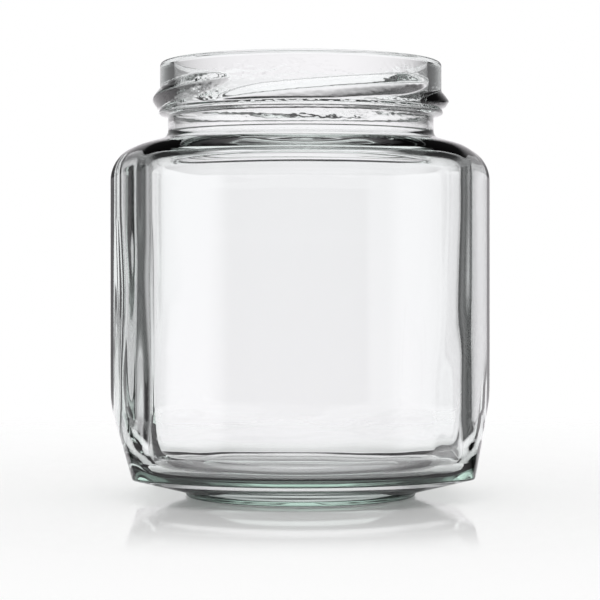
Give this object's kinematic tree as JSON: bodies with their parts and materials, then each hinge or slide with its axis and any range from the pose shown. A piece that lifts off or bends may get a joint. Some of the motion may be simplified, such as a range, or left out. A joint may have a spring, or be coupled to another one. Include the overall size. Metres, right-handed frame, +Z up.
{
  "type": "hexagonal glass jar",
  "caption": "Empty clear glass jar with a hexagonal faceted body, rounded shoulders and a wide round threaded mouth, for storing food or drink under a twist-off lid.",
  "frame": {"origin": "centre of the footprint on the table plane, on the jar's upright axis", "axes": "+Z up along the jar's axis, front panel towards -Y, pointed sides towards -X and +X"},
  "size_m": [0.08, 0.0688, 0.091],
  "materials": {
    "glass": "clear polished"
  },
  "bodies": {
    "root": {"jar_glass": "glass"}
  },
  "joints": []
}
